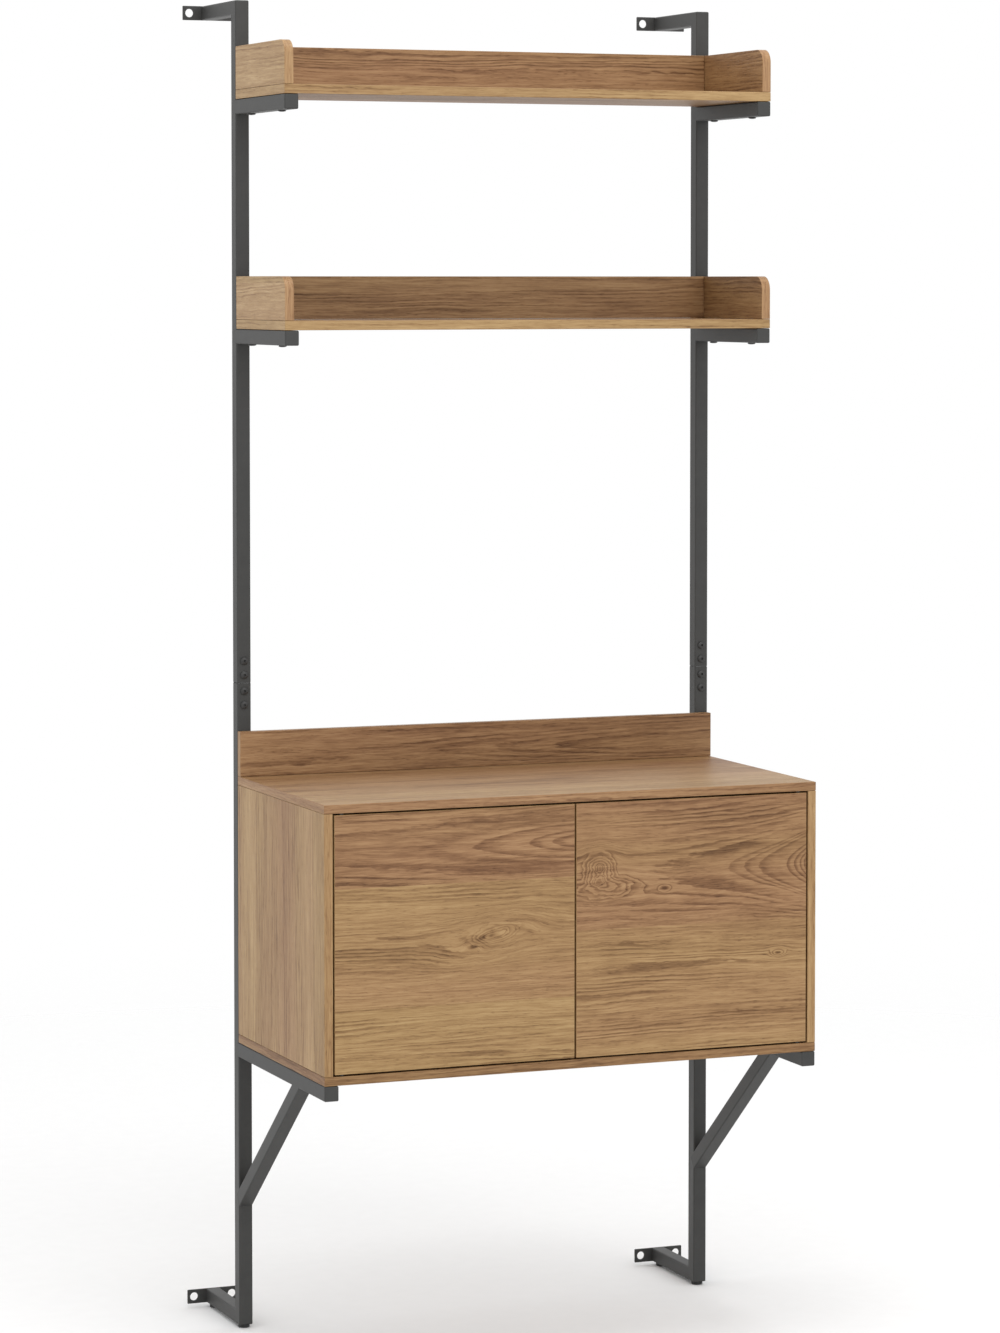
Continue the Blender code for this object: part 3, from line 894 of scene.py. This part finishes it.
def socket_screw():
    """A low domed head on its seat at z = 0, with a hexagon socket, and a short shank."""
    socket = [
        (0.0, SOCKET_FLOOR, 0),
        (SOCKET_RADIUS - SOCKET_EDGE, SOCKET_FLOOR, SOCKET_CORNERS),
        (SOCKET_RADIUS, SOCKET_FLOOR + SOCKET_EDGE, SOCKET_CORNERS),
        (SOCKET_RADIUS, SOCKET_TOP, SOCKET_CORNERS),
        (SOCKET_RADIUS + SOCKET_EDGE, SOCKET_RIM, SOCKET_CORNERS),
    ]
    dome_height = HEAD_HEIGHT - DOME_FOOT
    dome = [
        (HEAD_RADIUS * math.sin(angle), DOME_FOOT + dome_height * math.cos(angle), 0)
        for angle in DOME_ANGLES
    ]
    underside = round_rings(HEAD_RADIUS, HEAD_UNDERSIDE)
    shank = [(SHANK_RADIUS, 0.0, 0), (SHANK_RADIUS, -SHANK, 0), (0.0, -SHANK, 0)]
    return turned([*socket, *dome, *underside, *shank])


def build_splice_screws(side):
    for number in range(1, SPLICE_SCREWS + 1):
        node = f"splice_screw_{side}_{number}"
        low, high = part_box(node)
        seat = Vector(((low.x + high.x) / 2, low.y + HEAD_HEIGHT, (low.z + high.z) / 2))
        turn = Matrix.Rotation(SPLICE_SCREW_TURN * number, 4, "Z")
        place = Matrix.Translation(seat) @ TO_FRONT @ turn
        place_turned(f"socket_{node}", socket_screw(), place, BLACK_OXIDE, [node])


def build_arm_screws(arm, offsets):
    """The screws up through an arm into its board, which the CAD frame doesn't have."""
    low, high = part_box(arm)
    for number, offset in enumerate(offsets, 1):
        seat = Vector(((low.x + high.x) / 2, high.y - offset, low.z))
        turn = Matrix.Rotation(ARM_SCREW_TURN * number, 4, "Z")
        place = Matrix.Translation(seat) @ DOWN @ turn
        place_turned(f"{arm}_screw_{number}", socket_screw(), place, BLACK_OXIDE)


def build_screws():
    for side in SIDES:
        build_splice_screws(side)
        for tray in TRAYS:
            build_arm_screws(f"{tray}_tray_arm_{side}", TRAY_SCREW_OFFSETS)
        build_arm_screws(f"cabinet_arm_{side}", CABINET_SCREW_OFFSETS)


def build_glides():
    for side in SIDES:
        for end in ("front", "rear"):
            node = f"glide_{end}_{side}"
            low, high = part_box(node)
            middle = Vector(((low.x + high.x) / 2, (low.y + high.y) / 2, 0.0))
            outline = round_rings((high.x - low.x) / 2, GLIDE_OUTLINE)
            foot = turned([(0.0, GLIDE_TOP, 0), *outline, (0.0, 0.0, 0)])
            place = Matrix.Translation(middle)
            place_turned(f"foot_{end}_{side}", foot, place, PLASTIC, [node])


# The wood. A tone runs from 0, dark, to 1, and a hue from 0, red, to 1, yellow. The seed picks the
# figure.


def build_tray(tray, tone, hue, seed):
    low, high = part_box(f"{tray}_tray_board")
    material = oak(
        f"{tray}_tray_board_oak",
        axes="XYZ",
        seed=seed,
        planks=random_planks(seed, low.y, high.y, tone, hue + 0.2, centre_along=0.0),
        edge_tone=0.08,
        edge_hue=0.5,
        # painted shade on the board's underside
        underside_shade=-0.17,
    )
    board(f"{tray}_tray_oak_board", f"{tray}_tray_board", material)
    low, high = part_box(f"{tray}_tray_back_rail")
    material = oak(
        f"{tray}_tray_rail_oak",
        axes="XZY",
        seed=seed + 1,
        planks=random_planks(seed + 1, low.z, high.z, tone - 0.02, hue, centre_along=0.2),
        edge_tone=0.08,
    )
    board(f"{tray}_tray_oak_rail", f"{tray}_tray_back_rail", material)


def build_tray_end(tray, side, tone, hue, edge_tone, seed):
    node = f"{tray}_tray_end_{side}"
    low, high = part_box(node)
    material = oak(
        f"{node}_oak",
        axes="YZX",
        seed=seed,
        planks=random_planks(seed, low.z, high.z, tone, hue, centre_along=-0.3),
        edge_tone=edge_tone,
        edge_hue=-0.4,
        lines=0.7,
    )
    end_panel(f"{tray}_tray_oak_end_{side}", node, material)


def build_trays():
    for tray, tone, hue, seed in (("upper", 0.55, 0.40, 11), ("lower", 0.57, 0.25, 23)):
        build_tray(tray, tone, hue, seed)
        build_tray_end(tray, "left", tone=0.74, hue=0.80, edge_tone=-0.06, seed=seed + 5)
        build_tray_end(tray, "right", tone=0.45, hue=0.45, edge_tone=0.22, seed=seed + 8)


def build_cabinet_top():
    low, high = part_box("cabinet_top")
    # The front strip is paler and yellower than the rest: a painted sheen along the top's front
    # edge. Behind it the strips grow darker and redder towards the backsplash.
    planks = [
        Plank(low.y, 0.61, 0.70, -0.2, low.y - 0.12, taper=0.03),
        Plank(low.y + 0.13, 0.56, 0.40, 0.5, low.y + 0.17, taper=0.05),
        Plank(low.y + 0.28, 0.53, 0.20, -0.3, high.y + 0.02, taper=0.04),
    ]
    material = oak("cabinet_top_oak", "XYZ", seed=31, planks=planks, edge_tone=0.03)
    board("cabinet_oak_top", "cabinet_top", material)


def build_cabinet_side(side, seed, edge_tone):
    node = f"cabinet_side_{side}"
    low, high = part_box(node)
    material = oak(
        f"{node}_oak",
        axes="ZYX",
        seed=seed,
        planks=random_planks(seed, low.y, high.y, tone=0.63, hue=0.60, centre_along=0.74),
        edge_tone=edge_tone,
        edge_hue=0.3,
        lines=0.6,
    )
    board(f"cabinet_oak_side_{side}", node, material)


def build_plain_board(name, node, axes, seed, tone, hue, centre_along):
    """A board whose planks are random and whose edges are like its faces."""
    low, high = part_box(node)
    across = "XYZ".index(axes[1])
    planks = random_planks(seed, low[across], high[across], tone, hue, centre_along)
    board(name, node, oak(f"{node}_oak", axes, seed, planks))


def build_carcass():
    build_cabinet_top()
    build_plain_board("cabinet_oak_bottom", "cabinet_bottom", "XYZ", 37, 0.50, 0.4, 0.1)
    build_cabinet_side("left", seed=41, edge_tone=0.07)
    build_cabinet_side("right", seed=47, edge_tone=-0.02)
    build_plain_board("cabinet_oak_backsplash", "backsplash", "XZY", 53, 0.50, 0.2, 0.1)
    build_plain_board("cabinet_oak_back", "cabinet_back", "XZY", 59, 0.46, 0.4, 0.0)


def left_door_figure(left, base, wide, tall):
    """Three strips: arches in the top one, and a long leaning knot in the middle one."""
    planks = [
        Plank(base - 0.1, 0.63, 0.95, left + 0.30, base - 0.05, taper=0.05),
        Plank(base + tall * 0.245, 0.57, 0.62, left + 0.1, base + tall * 0.38, taper=0.03),
        Plank(
            base + tall * 0.715,
            tone=0.52,
            hue=0.20,
            centre_along=left + wide * 1.06,
            centre_across=base + tall * 0.855,
            taper=0.22,
            bold=0.8,
            pitch=84.0,
        ),
    ]
    knots = [
        Knot(left + wide * 0.645, base + tall * 0.500, 0.062, 0.024, 0.08, climb=1.0, lean=0.20),
        Knot(left + wide * 0.615, base + tall * 0.500, 0.021, 0.011, 0.52, climb=0.7, lean=0.25),
        Knot(left + wide * 0.575, base + tall * 0.465, 0.014, 0.008, 0.30, climb=0.5),
        Knot(left + wide * 0.695, base + tall * 0.510, 0.030, 0.012, -0.20, climb=1.0, lean=0.20),
    ]
    return planks, knots


def right_door_figure(left, base, wide, tall):
    """Two strips: arches and a pair of knots in the top one, and a small knot in the bottom one."""
    planks = [
        Plank(base - 0.1, 0.58, 0.65, left + 0.2, base + 0.02, taper=0.03),
        Plank(
            base + tall * 0.50,
            tone=0.54,
            hue=0.30,
            centre_along=left + wide * 1.04,
            centre_across=base + tall * 0.72,
            taper=1.30,
            bold=0.9,
            pitch=125.0,
        ),
    ]
    knots = [
        Knot(left + wide * 0.100, base + tall * 0.735, 0.026, 0.024, 0.14),
        Knot(left + wide * 0.130, base + tall * 0.665, 0.056, 0.018, 0.14),
        Knot(left + wide * 0.38, base + tall * 0.650, 0.012, 0.006, 0.24),
        Knot(left + wide * 0.875, base + tall * 0.365, 0.014, 0.007, 0.26),
    ]
    return planks, knots


def build_door(side, figure, seed):
    """A door board, bored for its two pivot bushes."""
    node = f"door_{side}"
    low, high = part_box(node)
    planks, knots = figure(low.x, low.z, high.x - low.x, high.z - low.z)
    shape = block(low, high)
    soften(shape, shape.edges[:], BOARD_EDGE, BOARD_EDGE_STEPS)
    bores = []
    for level, outward in (("bottom", -1), ("top", 1)):
        bush_low, bush_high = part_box(f"pivot_bush_{level}_{side}")
        middle = (bush_low + bush_high) / 2
        middle.z += outward * BORE_PAST / 2
        radius = (bush_high.x - bush_low.x) / 2 + BORE_CLEARANCE
        depth = bush_high.z - bush_low.z + BORE_PAST
        bores.append(cylinder(Matrix.Translation(middle), radius, depth))
    material = oak(f"{node}_oak", "XZY", seed, planks, knots)
    finish_piece(fuse(f"oak_{node}", [shape], bores, material), f"{side}_door", [node])


def build_doors():
    build_door("left", left_door_figure, seed=61)
    build_door("right", right_door_figure, seed=67)


# Fittings in the cabinet


def build_latch():
    """The latch's housing, bored for its two plungers, with a seam across its underside."""
    low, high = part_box("latch_housing")
    shell = block(low, high)
    soften(shell, shell.edges[:], LATCH_EDGE, LATCH_EDGE_STEPS)
    cuts = []
    for side in SIDES:
        plunger_low, plunger_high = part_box(f"latch_plunger_{side}")
        middle = (plunger_low + plunger_high) / 2
        middle.y = low.y + (PLUNGER_BORE_DEPTH - BORE_PAST) / 2
        radius = (plunger_high.x - plunger_low.x) / 2 + BORE_CLEARANCE
        place = Matrix.Translation(middle) @ TO_FRONT
        cuts.append(cylinder(place, radius, PLUNGER_BORE_DEPTH + BORE_PAST))
    seam_front = low.y + LATCH_SEAM_INSET
    seam_low = (low.x - LATCH_SEAM_PAST, seam_front, low.z - LATCH_SEAM_PAST)
    seam_back = seam_front + LATCH_SEAM_WIDTH
    seam_high = (high.x + LATCH_SEAM_PAST, seam_back, low.z + LATCH_SEAM_DEPTH)
    cuts.append(block(seam_low, seam_high))
    housing = fuse("push_latch_body", [shell], cuts, PLASTIC)
    finish_piece(housing, FRAME_BODY, ["latch_housing"])


def finish_cad_nodes():
    """Finishes for the CAD nodes that are shown as they are."""
    finishes = {
        "pivot_pin": BURNISHED,
        "strike": ZINC,
        "splice_sleeve": ZINC,
        "pivot_bush": BRASS,
        "latch_plunger": RUBBER,
    }
    for name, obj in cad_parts.items():
        for start, material in finishes.items():
            if name.startswith(start):
                obj.data.materials.clear()
                obj.data.materials.append(material)


# The stage


def floor_material():
    """Pale and matt, and clearer and clearer away from the object."""
    material, tree, shader = new_material("studio_floor", specular=FLOOR_SPECULAR)
    shader.inputs["Roughness"].default_value = FLOOR_ROUGHNESS
    place = object_axes(tree)
    grain = noise(tree, (place["X"] * FLOOR_GRAIN, place["Y"] * FLOOR_GRAIN, 0.0))
    stops = tuple(enumerate(FLOOR_COLOURS))
    tree.links.new(colour_ramp(tree, grain + 0.5, stops), shader.inputs["Base Color"])
    clear = tree.nodes.new("ShaderNodeBsdfTransparent")
    mix = tree.nodes.new("ShaderNodeMixShader")
    far = place["X"].with_legs(place["Y"]).ramp(*FLOOR_FADE)
    tree.links.new(far.socket, mix.inputs["Fac"])
    tree.links.new(shader.outputs["BSDF"], mix.inputs[1])
    tree.links.new(clear.outputs["BSDF"], mix.inputs[2])
    tree.links.new(mix.outputs[0], tree.nodes["Material Output"].inputs["Surface"])
    return material


def build_floor():
    shape = bmesh.new()
    bmesh.ops.create_circle(shape, cap_ends=True, segments=FLOOR_CORNERS, radius=FLOOR_RADIUS)
    floor = to_object("studio_floor", shape, floor_material())
    floor.location = FLOOR_CENTRE


def add_softbox(name, place, side, watts):
    """A square lamp that faces the middle of the object."""
    data = bpy.data.lights.new(name, "AREA")
    data.shape = "RECTANGLE"
    data.size = side
    data.size_y = side
    data.energy = watts
    lamp = bpy.data.objects.new(name, data)
    lamp.location = place
    direction = Vector(LIGHT_TARGET) - Vector(place)
    lamp.rotation_euler = direction.to_track_quat("-Z", "Y").to_euler()
    bpy.context.scene.collection.objects.link(lamp)


def build_lights():
    world = bpy.data.worlds.new("studio_backdrop")
    world.use_nodes = True
    backdrop = world.node_tree.nodes["Background"]
    backdrop.inputs["Color"].default_value = (1.0, 1.0, 1.0, 1.0)
    backdrop.inputs["Strength"].default_value = 1.0
    bpy.context.scene.world = world
    for name, place, side, watts in SOFTBOXES:
        add_softbox(name, place, side, watts)
    bpy.context.scene.view_settings.view_transform = "Standard"


def build_camera():
    data = bpy.data.cameras.new("view")
    data.lens = CAMERA_LENS
    data.shift_y = CAMERA_SHIFT
    camera = bpy.data.objects.new("view", data)
    camera.location = CAMERA_PLACE
    camera.rotation_euler = (math.pi / 2 - CAMERA_PITCH, 0.0, -CAMERA_TURN)
    bpy.context.scene.collection.objects.link(camera)
    bpy.context.scene.camera = camera


build_camera()
build_frames()
build_screws()
build_glides()
build_trays()
build_carcass()
build_doors()
build_latch()
finish_cad_nodes()
build_floor()
build_lights()
